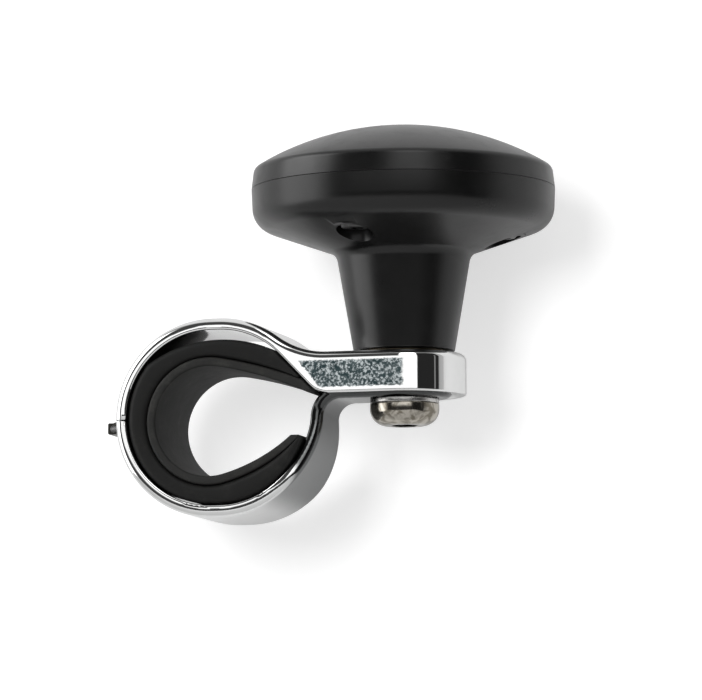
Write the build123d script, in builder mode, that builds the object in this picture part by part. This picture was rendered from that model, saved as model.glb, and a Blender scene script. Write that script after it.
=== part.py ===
from build123d import *
import os
from math import asin, atan2, cos, degrees, radians, sin, sqrt, tan

# Steering wheel spinner knob, in millimetres.
# The origin is the centre of the steering rim that the clamp holds, and the rim runs along Y.
# +X points from the rim to the knob, +Z up along the knob, and -Y is the front.

# Gripped rim and the two rubber liners
rim_radius = 11.1
liner_clearance = 0.3
inner_liner_wall = 1.8
liner_layer_gap = 0.1
liner_top_slack = 2.0
liner_slack_start = 140.0
liner_upper_leave = 80.0
liner_lower_leave = 285.0
liner_wedge_reach = 9.6
liner_wedge_start = -1.6
liner_groove_reach = 6.8
liner_tip = 1.0
liner_lower_end = -3.3
liner_lower_tip = 2.1

# Clamp ring, whose centre stands a little off the gripped rim
ring_x = 0.5
ring_z = 0.7
ring_inner = 17.7
ring_wall = 2.4
clamp_width = 25.0
outer_round = 1.5
inner_round = 0.45
bracket_stretch = 1.7
jaw_stretch = 1.8
split_gap = 0.3

# Arm of the upper bracket
knob_x = 37.7
arm_bottom = 5.0
arm_top = 13.4
neck_radius = 17.0
wedge_angle = 44.0
wedge_round = 5.5

# Foot of the lower jaw, let into the underside of the arm
foot_width = 14.6
foot_bottom = 4.4
foot_end = 47.5
foot_bend = 3.6
foot_clearance = 0.1
foot_side_clearance = 0.35
foot_slot_width = 9.0
foot_slot_length = 11.4
jaw_taper_start = -12.0
jaw_taper_round = 12.0

# Hinge at the far left, with two knuckles on the bracket and one on the jaw
hinge_reach = 2.1
hinge_drop = 1.2
knuckle_radius = 1.15
knuckle_corner = 0.35
knuckle_length = 4.0
knuckle_gap = 0.1
knuckle_web = 1.0
pin_radius = 0.7
pin_clearance = 0.03

# Clamp bolt and its washer
bolt_radius = 3.95
bolt_length = 12.0
bolt_head_radius = 7.0
bolt_head_height = 4.4
bolt_head_edge = 1.1
bolt_head_flat = 3.2
bolt_socket_flats = 5.0
bolt_socket_depth = 2.6
bolt_chamfer = 0.8
washer_radius = 7.0
washer_bore = 4.2
washer_thickness = 1.0

# Spindle, pressed into the arm with its collar let in flush
press_radius = 7.0
press_gap = 0.02
collar_radius = 9.0
collar_thickness = 1.0
collar_clearance = 0.1
shaft_radius = 6.0
stud_radius = 4.95
stud_extra = 1.5
thread_depth = 11.0
thread_clearance = 0.05

# Stem and head of the knob, with heights above the foot of the stem
stem_gap = 0.5
stem_radius = 10.2
stem_top_radius = 13.6
stem_height = 19.9
stem_foot_round = 0.5
stem_head_round = 2.6
rim_low_inset = 0.3
rim_underside_round = 4.8
rim_radius_max = 30.7
seam_height = 33.1
lower_band_height = 7.3
upper_band_height = 4.1
rim_top_inset = 0.5
rim_round = 1.6
dome_rise = 8.6
head_wall = 2.8
hollow_round = 2.0
cap_wall = 2.4
seam_gap = 0.05
lip_height = 2.0
lip_wall = 1.2
lip_clearance = 0.1

# Bearings on the spindle
running_gap = 0.05
thrust_washer_thickness = 0.45
seal_height = 1.0
bearing_seat_radius = 8.0
needle_cup_length = 10.0
needle_cup_wall = 0.75
needle_cup_lip = 0.8
needle_cup_lip_radius = 6.5
needle_radius = 0.6
needle_length = 6.6
needle_count = 12
needle_clearance = 0.02
cage_wall = 0.8
cage_rim = 0.7
cage_clearance = 0.08
bush_length = 8.0
bush_flange_radius = 10.0
bush_flange_thickness = 1.4
bore_relief = 0.8
hub_height = 22.2

# Washers and nut on the stud
spindle_washer_radius = 9.0
spindle_washer_thickness = 1.2
lock_washer_radius = 8.0
lock_washer_thickness = 2.2
lock_washer_slit = 1.0
nut_flats = 16.0
nut_height = 6.0
nut_chamfer = 0.8
stud_clearance = 0.1

# Screws that hold the cap, driven from below
screw_count = 3
screw_pitch_radius = 20.0
screw_start_angle = 255.0
screw_radius = 1.6
screw_length = 16.0
screw_head_radius = 3.0
screw_head_height = 2.2
screw_head_chamfer = 0.6
screw_recess_width = 0.9
screw_recess_length = 3.4
screw_recess_depth = 1.2
screw_seat_height = 25.1
counterbore_radius = 3.75
boss_radius = 4.8
cap_post_radius = 4.0
screw_clearance = 0.2
screw_bite_clearance = 0.05

# Sizes that follow from the ones above
ring_outer = ring_inner + ring_wall
half_width = clamp_width / 2
jaw_end = ring_z - split_gap
hinge_x = ring_x - ring_outer - hinge_reach
hinge_z = ring_z - hinge_drop
foot_top = foot_bottom + ring_wall
pocket_roof = foot_top + foot_clearance
foot_radius = foot_width / 2
foot_centre = foot_end - foot_radius
strap_inner_x = ring_x + jaw_stretch + ring_inner
bend_x = strap_inner_x + ring_wall + foot_bend
bend_z = foot_bottom - foot_bend
liner_outer = ring_inner - liner_clearance
head_top = foot_bottom - washer_thickness
head_bottom = head_top - bolt_head_height
stem_z = arm_top + stem_gap
collar_seat = arm_top - collar_thickness
hub_z = stem_z + hub_height
cup_z = stem_z + seal_height
bush_top = hub_z + bush_flange_thickness
shaft_top = bush_top + running_gap
lock_washer_z = shaft_top + spindle_washer_thickness
nut_z = lock_washer_z + lock_washer_thickness
stud_top = nut_z + nut_height + stud_extra
seam_z = stem_z + seam_height
rim_low_height = seam_height - lower_band_height
rim_z = seam_z + upper_band_height
dome_z = rim_z + dome_rise
rim_low_radius = rim_radius_max - rim_low_inset
rim_top_radius = rim_radius_max - rim_top_inset
screw_seat_z = stem_z + screw_seat_height
ring_centre = Vector(ring_x, ring_z)
bracket_centre = Vector(ring_x + bracket_stretch, ring_z)
jaw_centre = Vector(ring_x + jaw_stretch, ring_z)

# Half sections of turned pieces are drawn beside the knob's axis, as radius and height.
turned = Plane(origin=(knob_x, 0, 0), x_dir=(1, 0, 0), z_dir=(0, -1, 0))
knob_axis = Axis((knob_x, 0, 0), (0, 0, 1))
screw_places = PolarLocations(screw_pitch_radius, screw_count, screw_start_angle)

os.makedirs("parts", exist_ok=True)


def heading(angle):
    """Direction at an angle from +X towards +Z, in degrees."""
    return Vector(cos(radians(angle)), sin(radians(angle)))


def at_height(height):
    """Plane across the knob's axis at a height."""
    return Plane((knob_x, 0, height))


def level_edges(builder, height):
    """Edges along X that lie at a height."""
    return builder.edges().filter_by(Axis.X).filter_by_position(Axis.Z, height - 0.01, height + 0.01)


def knuckle_outline(side, web_far, web_near, bore):
    """Side outline of a hinge knuckle, squared on its outer side, with a web to the ring above or below."""
    wall_x = ring_x - ring_outer + inner_round
    with BuildSketch() as outline:
        with Locations((hinge_x, hinge_z)):
            Circle(knuckle_radius)
            Rectangle(knuckle_radius, 2 * knuckle_radius, align=(Align.MAX, Align.CENTER))
        fillet(outline.vertices().group_by(Axis.X)[0], knuckle_corner)
        with BuildLine():
            Polyline(
                (hinge_x, hinge_z),
                (hinge_x, hinge_z + side * knuckle_radius),
                (wall_x, web_far),
                (wall_x, web_near),
                close=True,
            )
        make_face()
        with Locations((hinge_x, hinge_z)):
            Circle(bore, mode=Mode.SUBTRACT)
    return outline.sketch


# Upper bracket: one casting, drawn from the side over the ring and out along the arm
neck_rise = arm_top + neck_radius - ring_z
neck_angle = degrees(asin(neck_rise / (ring_outer + neck_radius)))
wedge_top = bracket_centre + heading(wedge_angle) * ring_inner
wedge_length = (wedge_top.Y - arm_bottom) / cos(radians(wedge_angle))
wedge_foot = wedge_top + heading(wedge_angle - 90) * wedge_length
arm_end = knob_x + half_width
knuckle_pitch = knuckle_length + knuckle_gap
bracket_knuckle = knuckle_outline(1, ring_z + knuckle_web, ring_z, pin_radius)

with BuildPart() as upper_bracket:
    with BuildSketch(Plane.XZ):
        with BuildLine():
            CenterArc(ring_centre, ring_outer, 90, 90)
            Line(ring_centre + (0, ring_outer), bracket_centre + (0, ring_outer))
            shoulder = CenterArc(bracket_centre, ring_outer, 90, neck_angle - 90)
            neck = JernArc(shoulder @ 1, shoulder % 1, neck_radius, 90 - neck_angle)
            FilletPolyline(
                neck @ 1,
                (arm_end, arm_top),
                (arm_end, arm_bottom),
                wedge_foot,
                wedge_top,
                radius=(0, 0, wedge_round),
            )
            CenterArc(bracket_centre, ring_inner, wedge_angle, 90 - wedge_angle)
            Line(bracket_centre + (0, ring_inner), ring_centre + (0, ring_inner))
            CenterArc(ring_centre, ring_inner, 90, 90)
            Line(ring_centre - (ring_inner, 0), ring_centre - (ring_outer, 0))
        make_face()
    extrude(amount=half_width, both=True)
    with BuildSketch(Plane.XY.offset(ring_z)):
        with Locations((knob_x, 0)):
            Circle(half_width)
            Rectangle(knob_x + ring_outer, clamp_width, align=(Align.MAX, Align.CENTER))
    extrude(amount=ring_outer, mode=Mode.INTERSECT)
    fillet(level_edges(upper_bracket, arm_top), outer_round)
    fillet(level_edges(upper_bracket, arm_bottom), inner_round)
    with BuildSketch(Plane.XY.offset(ring_z)):
        with Locations((foot_centre, 0)):
            Circle(foot_radius + foot_side_clearance)
            Rectangle(
                foot_centre - ring_x,
                foot_width + 2 * foot_side_clearance,
                align=(Align.MAX, Align.CENTER),
            )
    extrude(amount=pocket_roof - ring_z, mode=Mode.SUBTRACT)
    with BuildSketch(at_height(pocket_roof)):
        Circle(press_radius + press_gap)
    extrude(amount=arm_top - pocket_roof, mode=Mode.SUBTRACT)
    with BuildSketch(at_height(collar_seat)):
        Circle(collar_radius + collar_clearance)
    extrude(amount=collar_thickness, mode=Mode.SUBTRACT)
    with BuildSketch(Plane.XZ.offset(knuckle_pitch), Plane.XZ.offset(-knuckle_pitch)):
        add(bracket_knuckle)
    extrude(amount=knuckle_length / 2, both=True)

# Lower jaw: a strap of even thickness round the ring, up an S-bend and into a flat foot
taper_side = half_width + outer_round
jaw_knuckle = knuckle_outline(-1, hinge_z - knuckle_radius, jaw_end, pin_radius + pin_clearance)

with BuildPart() as lower_jaw:
    with BuildSketch(Plane.XZ):
        with BuildLine():
            CenterArc(ring_centre, ring_outer, 180, 90)
            Line(ring_centre - (0, ring_outer), jaw_centre - (0, ring_outer))
            CenterArc(jaw_centre, ring_outer, 270, 90)
            Line(jaw_centre + (ring_outer, 0), (strap_inner_x + ring_wall, bend_z))
            CenterArc((bend_x, bend_z), foot_bend, 90, 90)
            Polyline(
                (bend_x, foot_bottom),
                (foot_end, foot_bottom),
                (foot_end, foot_top),
                (bend_x, foot_top),
            )
            CenterArc((bend_x, bend_z), foot_bend + ring_wall, 90, 90)
            Line((strap_inner_x, bend_z), jaw_centre + (ring_inner, 0))
            CenterArc(jaw_centre, ring_inner, 270, 90)
            Line(jaw_centre - (0, ring_inner), ring_centre - (0, ring_inner))
            CenterArc(ring_centre, ring_inner, 180, 90)
            Line(ring_centre - (ring_inner, 0), ring_centre - (ring_outer, 0))
        make_face()
    extrude(amount=half_width, both=True)
    with BuildSketch(Plane.XY):
        with Locations((foot_centre, 0)):
            Circle(foot_radius)
            Rectangle(foot_centre + ring_outer, clamp_width, align=(Align.MAX, Align.CENTER))
    extrude(amount=2 * ring_outer, both=True, mode=Mode.INTERSECT)
    for side in (1, -1):
        with BuildSketch(Plane.YZ.offset(jaw_centre.X)):
            with BuildLine():
                FilletPolyline(
                    (side * half_width, jaw_taper_start - jaw_taper_round),
                    (side * half_width, jaw_taper_start),
                    (side * foot_radius, bend_z),
                    (side * foot_radius, foot_top + outer_round),
                    (side * taper_side, foot_top + outer_round),
                    (side * taper_side, jaw_taper_start - jaw_taper_round),
                    radius=(0, jaw_taper_round, jaw_taper_round, 0, 0, 0),
                    close=True,
                )
            make_face()
        extrude(amount=foot_end, mode=Mode.SUBTRACT)
    fillet(level_edges(lower_jaw, foot_bottom), outer_round)
    fillet(level_edges(lower_jaw, foot_top), inner_round)
    with BuildSketch(at_height(foot_bottom)):
        SlotOverall(foot_slot_length, foot_slot_width)
    extrude(amount=ring_wall, mode=Mode.SUBTRACT)
    with BuildSketch(Plane.XZ):
        with Locations((ring_x - ring_inner, ring_z)):
            Rectangle(4 * ring_wall, 2 * split_gap)
    extrude(amount=half_width, both=True, mode=Mode.SUBTRACT)
    with BuildSketch(Plane.XZ):
        add(jaw_knuckle)
    extrude(amount=knuckle_length / 2, both=True)

with BuildPart() as hinge_pin:
    with BuildSketch(Plane.XZ):
        with Locations((hinge_x, hinge_z)):
            Circle(pin_radius)
    extrude(amount=knuckle_pitch + knuckle_length / 2, both=True)

# Rubber liners: one section fills the ring round the gripped rim, and a groove parts it in two layers
wedge_line = bracket_centre + heading(wedge_angle) * liner_outer
wedge_way = heading(wedge_angle - 90)
liner_tip_outer = wedge_line + wedge_way * liner_wedge_reach
liner_tip_inner = liner_tip_outer - heading(wedge_angle) * liner_tip
liner_slack_end = wedge_line + wedge_way * liner_wedge_start
liner_slack_from = ring_centre + heading(liner_slack_start) * liner_outer
liner_lower_angle = degrees(asin((liner_lower_end - ring_z) / liner_outer))
liner_lower_outer = jaw_centre + heading(liner_lower_angle) * liner_outer
liner_lower_inner = liner_lower_outer - (liner_lower_tip, 0)


def rim_side(radius, upper_end, lower_end):
    """Draws the C that wraps the rim at a radius, with its tails running out tangent to their ends."""
    upper_start = heading(liner_upper_leave) * radius
    lower_start = heading(liner_lower_leave) * radius
    with BuildLine() as wrap:
        TangentArc(upper_start, upper_end, tangent=heading(liner_upper_leave - 90))
        CenterArc((0, 0), radius, liner_upper_leave, liner_lower_leave - liner_upper_leave)
        TangentArc(lower_start, lower_end, tangent=heading(liner_lower_leave + 90))
    return wrap.line


def inside_groove(layer_gap):
    """Region on the rim's side of the groove between the layers, open to the clamp's mouth."""
    upper_end = wedge_line + wedge_way * (liner_groove_reach - layer_gap)
    mouth = (2 * ring_outer, 0)
    with BuildSketch() as region:
        with BuildLine():
            add(rim_side(rim_radius + inner_liner_wall + layer_gap, upper_end, liner_lower_outer))
            Polyline(upper_end, mouth, liner_lower_outer)
        make_face()
    return region.sketch


with BuildSketch(Plane.XZ) as liner_section:
    with BuildLine():
        add(rim_side(rim_radius, liner_tip_inner, liner_lower_inner))
        Line(liner_lower_inner, liner_lower_outer)
        CenterArc(jaw_centre, liner_outer, 270, 90 + liner_lower_angle)
        Line(jaw_centre - (0, liner_outer), ring_centre - (0, liner_outer))
        CenterArc(ring_centre, liner_outer, liner_slack_start, 270 - liner_slack_start)
        ThreePointArc(
            liner_slack_from,
            ring_centre + (0, ring_inner - liner_top_slack),
            liner_slack_end,
        )
        Polyline(liner_slack_end, liner_tip_outer, liner_tip_inner)
    make_face()

with BuildPart() as inner_liner:
    with BuildSketch(Plane.XZ):
        add(liner_section.sketch_local)
        add(inside_groove(0), mode=Mode.INTERSECT)
    extrude(amount=half_width, both=True)

with BuildPart() as outer_liner:
    with BuildSketch(Plane.XZ):
        add(liner_section.sketch_local)
        add(inside_groove(liner_layer_gap), mode=Mode.SUBTRACT)
    extrude(amount=half_width, both=True)

# Clamp bolt: a button head with a hexagon socket, driven up from below into the spindle
with BuildPart() as clamp_bolt:
    with BuildSketch(turned):
        with BuildLine():
            crown = TangentArc(
                (bolt_head_radius, head_top - bolt_head_edge),
                (bolt_head_flat, head_bottom),
                tangent=(0, -1),
            )
            Polyline(
                crown @ 0,
                (bolt_head_radius, head_top),
                (bolt_radius, head_top),
                (bolt_radius, head_top + bolt_length - bolt_chamfer),
                (bolt_radius - bolt_chamfer, head_top + bolt_length),
                (0, head_top + bolt_length),
                (0, head_bottom),
                crown @ 1,
            )
        make_face()
    revolve(axis=knob_axis)
    with BuildSketch(at_height(head_bottom)):
        RegularPolygon(bolt_socket_flats / 2, 6, major_radius=False)
    extrude(amount=bolt_socket_depth, mode=Mode.SUBTRACT)

with BuildPart() as bolt_washer:
    with BuildSketch(at_height(head_top)):
        Circle(washer_radius)
        Circle(washer_bore, mode=Mode.SUBTRACT)
    extrude(amount=washer_thickness)

# Spindle: pressed into the arm, threaded for the bolt below and for the nut above
with BuildPart() as spindle:
    with BuildSketch(turned):
        with BuildLine():
            Polyline(
                (bolt_radius + thread_clearance, pocket_roof),
                (press_radius - bolt_chamfer, pocket_roof),
                (press_radius, pocket_roof + bolt_chamfer),
                (press_radius, collar_seat),
                (collar_radius, collar_seat),
                (collar_radius, arm_top),
                (shaft_radius, arm_top),
                (shaft_radius, shaft_top),
                (stud_radius, shaft_top),
                (stud_radius, stud_top - bolt_chamfer),
                (stud_radius - bolt_chamfer, stud_top),
                (0, stud_top),
                (0, pocket_roof + thread_depth + bolt_radius / 2),
                (bolt_radius + thread_clearance, pocket_roof + thread_depth),
                close=True,
            )
        make_face()
    revolve(axis=knob_axis)

with BuildPart() as thrust_washer:
    with BuildSketch(at_height(arm_top)):
        Circle(collar_radius)
        Circle(shaft_radius + running_gap, mode=Mode.SUBTRACT)
    extrude(amount=thrust_washer_thickness)

with BuildPart() as grease_seal:
    with BuildSketch(at_height(stem_z)):
        Circle(bearing_seat_radius)
        Circle(shaft_radius + running_gap, mode=Mode.SUBTRACT)
    extrude(amount=seal_height)

# Needle bearing in the foot of the stem: a drawn cup with turned-in lips, a cage and its rollers
cup_inner = bearing_seat_radius - needle_cup_wall
needle_pitch = shaft_radius + needle_clearance + needle_radius
needle_z = cup_z + needle_cup_length / 2
cage_length = needle_length + 2 * (cage_rim + cage_clearance)
needle_places = PolarLocations(needle_pitch, needle_count)

with BuildPart() as needle_cup:
    with BuildSketch(turned):
        with BuildLine():
            Polyline(
                (needle_cup_lip_radius, cup_z),
                (bearing_seat_radius, cup_z),
                (bearing_seat_radius, cup_z + needle_cup_length),
                (needle_cup_lip_radius, cup_z + needle_cup_length),
                (needle_cup_lip_radius, cup_z + needle_cup_length - needle_cup_lip),
                (cup_inner, cup_z + needle_cup_length - needle_cup_lip),
                (cup_inner, cup_z + needle_cup_lip),
                (needle_cup_lip_radius, cup_z + needle_cup_lip),
                close=True,
            )
        make_face()
    revolve(axis=knob_axis)

with BuildPart() as needle_rollers:
    with BuildSketch(at_height(needle_z)):
        with needle_places:
            Circle(needle_radius)
    extrude(amount=needle_length / 2, both=True)

with BuildPart() as needle_cage:
    with BuildSketch(at_height(needle_z)):
        Circle(needle_pitch + cage_wall / 2)
        Circle(needle_pitch - cage_wall / 2, mode=Mode.SUBTRACT)
    extrude(amount=cage_length / 2, both=True)
    with BuildSketch(at_height(needle_z)):
        with needle_places:
            Rectangle(2 * cage_wall, 2 * (needle_radius + cage_clearance))
    extrude(amount=needle_length / 2 + cage_clearance, both=True, mode=Mode.SUBTRACT)

with BuildPart() as upper_bush:
    with BuildSketch(turned):
        with BuildLine():
            Polyline(
                (shaft_radius + running_gap, hub_z - bush_length),
                (bearing_seat_radius, hub_z - bush_length),
                (bearing_seat_radius, hub_z),
                (bush_flange_radius, hub_z),
                (bush_flange_radius, bush_top),
                (shaft_radius + running_gap, bush_top),
                close=True,
            )
        make_face()
    revolve(axis=knob_axis)

# Washers and nut that keep the knob on the spindle
with BuildPart() as spindle_washer:
    with BuildSketch(at_height(shaft_top)):
        Circle(spindle_washer_radius)
        Circle(stud_radius + stud_clearance, mode=Mode.SUBTRACT)
    extrude(amount=spindle_washer_thickness)

with BuildPart() as lock_washer:
    with BuildSketch(at_height(lock_washer_z)):
        Circle(lock_washer_radius)
        Circle(stud_radius + stud_clearance, mode=Mode.SUBTRACT)
        Rectangle(
            2 * lock_washer_radius,
            lock_washer_slit,
            align=(Align.MIN, Align.CENTER),
            mode=Mode.SUBTRACT,
        )
    extrude(amount=lock_washer_thickness)

nut_corner_radius = nut_flats / 2 + nut_chamfer / tan(radians(30))

with BuildPart() as spindle_nut:
    with BuildSketch(at_height(nut_z)):
        RegularPolygon(nut_flats / 2, 6, major_radius=False)
    extrude(amount=nut_height)
    with BuildSketch(turned):
        with BuildLine():
            Polyline(
                (0, nut_z),
                (nut_flats / 2, nut_z),
                (nut_corner_radius, nut_z + nut_chamfer),
                (nut_corner_radius, nut_z + nut_height - nut_chamfer),
                (nut_flats / 2, nut_z + nut_height),
                (0, nut_z + nut_height),
                close=True,
            )
        make_face()
    revolve(axis=knob_axis, mode=Mode.INTERSECT)
    with BuildSketch(at_height(nut_z)):
        Circle(stud_radius + thread_clearance)
    extrude(amount=nut_height, mode=Mode.SUBTRACT)

# Knob body: the stem and the lower shell of the head, hollow above the hub
underside_angle = atan2(rim_low_height - stem_height, rim_low_radius - stem_top_radius)
underside_slope = tan(underside_angle)
floor_lift = head_wall / cos(underside_angle)
hollow_radius = rim_radius_max - head_wall
floor_at_hollow = stem_z + rim_low_height + floor_lift - (rim_low_radius - hollow_radius) * underside_slope
hub_radius = hollow_radius - (floor_at_hollow - hub_z) / underside_slope
boss_top = seam_z - seam_gap

with BuildPart() as body_hollow:
    with BuildSketch(turned):
        with BuildLine():
            Line((0, seam_z), (0, hub_z))
            FilletPolyline(
                (0, hub_z),
                (hub_radius, hub_z),
                (hollow_radius, floor_at_hollow),
                (hollow_radius, seam_z),
                radius=(0, hollow_round),
            )
            Line((hollow_radius, seam_z), (0, seam_z))
        make_face()
    revolve(axis=knob_axis)
    with BuildSketch(at_height(hub_z)):
        with screw_places:
            Circle(boss_radius)
    extrude(amount=boss_top - hub_z, mode=Mode.SUBTRACT)

with BuildPart() as knob_body:
    with BuildSketch(turned):
        with BuildLine():
            Line((0, seam_z - seam_gap), (0, stem_z))
            FilletPolyline(
                (0, stem_z),
                (stem_radius, stem_z),
                (stem_top_radius, stem_z + stem_height),
                (rim_low_radius, stem_z + rim_low_height),
                (rim_radius_max, seam_z - seam_gap),
                (0, seam_z - seam_gap),
                radius=(stem_foot_round, stem_head_round, rim_underside_round, 0),
            )
        make_face()
    revolve(axis=knob_axis)
    add(body_hollow.part, mode=Mode.SUBTRACT)
    with BuildSketch(at_height(stem_z)):
        Circle(shaft_radius + bore_relief)
    extrude(amount=hub_height, mode=Mode.SUBTRACT)
    with BuildSketch(at_height(stem_z)):
        Circle(bearing_seat_radius)
    extrude(amount=seal_height + needle_cup_length, mode=Mode.SUBTRACT)
    with BuildSketch(at_height(hub_z)):
        Circle(bearing_seat_radius)
    extrude(amount=-bush_length, mode=Mode.SUBTRACT)
    with BuildSketch(at_height(screw_seat_z)):
        with screw_places:
            Circle(counterbore_radius)
    extrude(amount=-screw_seat_height, mode=Mode.SUBTRACT)
    with BuildSketch(at_height(screw_seat_z)):
        with screw_places:
            Circle(screw_radius + screw_clearance)
    extrude(amount=boss_top - screw_seat_z, mode=Mode.SUBTRACT)

# Knob cap: a dome that meets the body at the seam, with a lip inside it and three screw posts
dome_radius = (rim_top_radius**2 + dome_rise**2) / (2 * dome_rise)
dome_centre_z = dome_z - dome_radius
lip_outer = hollow_radius - lip_clearance
lip_inner = lip_outer - lip_wall
ceiling_radius = dome_radius - cap_wall
ceiling_side_z = dome_centre_z + sqrt(ceiling_radius**2 - lip_inner**2)
ceiling_z = dome_centre_z + ceiling_radius

with BuildPart() as cap_hollow:
    with BuildSketch(turned):
        with BuildLine():
            Polyline((0, ceiling_z), (0, seam_z), (lip_inner, seam_z), (lip_inner, ceiling_side_z))
            RadiusArc((lip_inner, ceiling_side_z), (0, ceiling_z), -ceiling_radius)
        make_face()
    revolve(axis=knob_axis)
    with BuildSketch(at_height(seam_z)):
        with screw_places:
            Circle(cap_post_radius)
    extrude(amount=dome_z - seam_z, mode=Mode.SUBTRACT)

with BuildPart() as knob_cap:
    with BuildSketch(turned) as cap_section:
        with BuildLine():
            Polyline((0, dome_z), (0, seam_z), (rim_radius_max, seam_z), (rim_top_radius, rim_z))
            RadiusArc((rim_top_radius, rim_z), (0, dome_z), -dome_radius)
        make_face()
        rim_corner = cap_section.vertices().filter_by_position(Axis.Y, rim_z - 0.01, rim_z + 0.01)
        fillet(rim_corner, rim_round)
    revolve(axis=knob_axis)
    add(cap_hollow.part, mode=Mode.SUBTRACT)
    with BuildSketch(at_height(seam_z)):
        Circle(lip_outer)
        Circle(lip_inner, mode=Mode.SUBTRACT)
    extrude(amount=-lip_height)
    with BuildSketch(at_height(seam_z)):
        with screw_places:
            Circle(screw_radius + screw_bite_clearance)
    extrude(amount=screw_seat_z + screw_length + screw_clearance - seam_z, mode=Mode.SUBTRACT)

with BuildPart() as cap_screws:
    with BuildSketch(at_height(screw_seat_z)):
        with screw_places:
            Circle(screw_head_radius)
    extrude(amount=-screw_head_height)
    chamfer(cap_screws.edges().group_by(Axis.Z)[0], screw_head_chamfer)
    with BuildSketch(at_height(screw_seat_z)):
        with screw_places:
            Circle(screw_radius)
    extrude(amount=screw_length)
    with BuildSketch(at_height(screw_seat_z - screw_head_height)):
        with screw_places:
            Rectangle(screw_recess_length, screw_recess_width)
            Rectangle(screw_recess_width, screw_recess_length)
    extrude(amount=screw_recess_depth, mode=Mode.SUBTRACT)

pieces = {
    "upper_bracket": upper_bracket,
    "lower_jaw": lower_jaw,
    "hinge_pin": hinge_pin,
    "outer_liner": outer_liner,
    "inner_liner": inner_liner,
    "clamp_bolt": clamp_bolt,
    "bolt_washer": bolt_washer,
    "spindle": spindle,
    "thrust_washer": thrust_washer,
    "grease_seal": grease_seal,
    "needle_cup": needle_cup,
    "needle_cage": needle_cage,
    "needle_rollers": needle_rollers,
    "upper_bush": upper_bush,
    "spindle_washer": spindle_washer,
    "lock_washer": lock_washer,
    "spindle_nut": spindle_nut,
    "knob_body": knob_body,
    "knob_cap": knob_cap,
    "cap_screws": cap_screws,
}
for name, piece in pieces.items():
    piece.part.label = name
    export_step(piece.part, f"parts/{name}.step")
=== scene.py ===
from math import atan2, ceil, cos, degrees, pi, radians, sin, sqrt, tan

import bmesh
import bpy
from mathutils import Matrix, Vector
from mathutils.geometry import delaunay_2d_cdt


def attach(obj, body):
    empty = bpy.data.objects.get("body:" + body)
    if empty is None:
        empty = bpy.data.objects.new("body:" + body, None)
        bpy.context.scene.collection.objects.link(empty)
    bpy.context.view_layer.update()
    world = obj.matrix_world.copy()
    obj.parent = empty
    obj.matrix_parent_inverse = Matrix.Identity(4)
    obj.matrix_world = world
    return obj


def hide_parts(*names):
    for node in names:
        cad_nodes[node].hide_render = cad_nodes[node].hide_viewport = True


# The looks of a steering wheel spinner knob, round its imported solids.
# Sizes are in millimetres until a mesh is written, and MM turns them into metres.
MM = 0.001
KNOB_X = 37.7
STEM_Z = 13.9
SEAM_Z = 47.0
HINGE_EDGE_X = -20.1
LATHE_STEPS = 192
CREASE = 35.0

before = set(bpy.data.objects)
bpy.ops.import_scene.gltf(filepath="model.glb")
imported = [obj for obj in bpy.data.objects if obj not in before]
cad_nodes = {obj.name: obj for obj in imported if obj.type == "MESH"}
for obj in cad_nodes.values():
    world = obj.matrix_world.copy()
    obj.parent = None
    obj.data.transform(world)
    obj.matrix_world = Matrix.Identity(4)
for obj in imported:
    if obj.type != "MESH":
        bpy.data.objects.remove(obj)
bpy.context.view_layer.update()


class Signal:
    """A socket of a node tree that takes part in arithmetic."""

    def __init__(self, tree, socket):
        self.tree = tree
        self.socket = socket

    def _math(self, operation, first, second):
        return self.tree.node("ShaderNodeMath", {"operation": operation}, {0: first, 1: second})

    def __add__(self, other):
        return self._math("ADD", self, other)

    __radd__ = __add__

    def __sub__(self, other):
        return self._math("SUBTRACT", self, other)

    def __rsub__(self, other):
        return self._math("SUBTRACT", other, self)

    def __mul__(self, other):
        return self._math("MULTIPLY", self, other)

    __rmul__ = __mul__

    def between(self, low, high):
        """Goes smoothly from 0 at low to 1 at high, or the other way where low is the larger."""
        return self.tree.node(
            "ShaderNodeMapRange",
            {"interpolation_type": "SMOOTHSTEP"},
            {"Value": self, "From Min": low, "From Max": high},
        )

    def within(self, low, high, soft):
        """1 between low and high, with soft edges."""
        return self.between(low - soft, low + soft) * self.between(high + soft, high - soft)

    def output(self, name):
        """Another output of the node that this signal comes from."""
        return Signal(self.tree, self.socket.node.outputs[name])


class Tree:
    """Writes a node tree: node() makes any node, and its outputs take part in expressions."""

    def __init__(self, tree):
        self.tree = tree

    def node(self, kind, settings=None, inputs=None, output=0):
        made = self.tree.nodes.new(kind)
        for name, value in (settings or {}).items():
            setattr(made, name, value)
        for name, value in (inputs or {}).items():
            if isinstance(value, Signal):
                self.tree.links.new(value.socket, made.inputs[name])
            else:
                made.inputs[name].default_value = value
        return Signal(self, made.outputs[output]) if made.outputs else None


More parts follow.
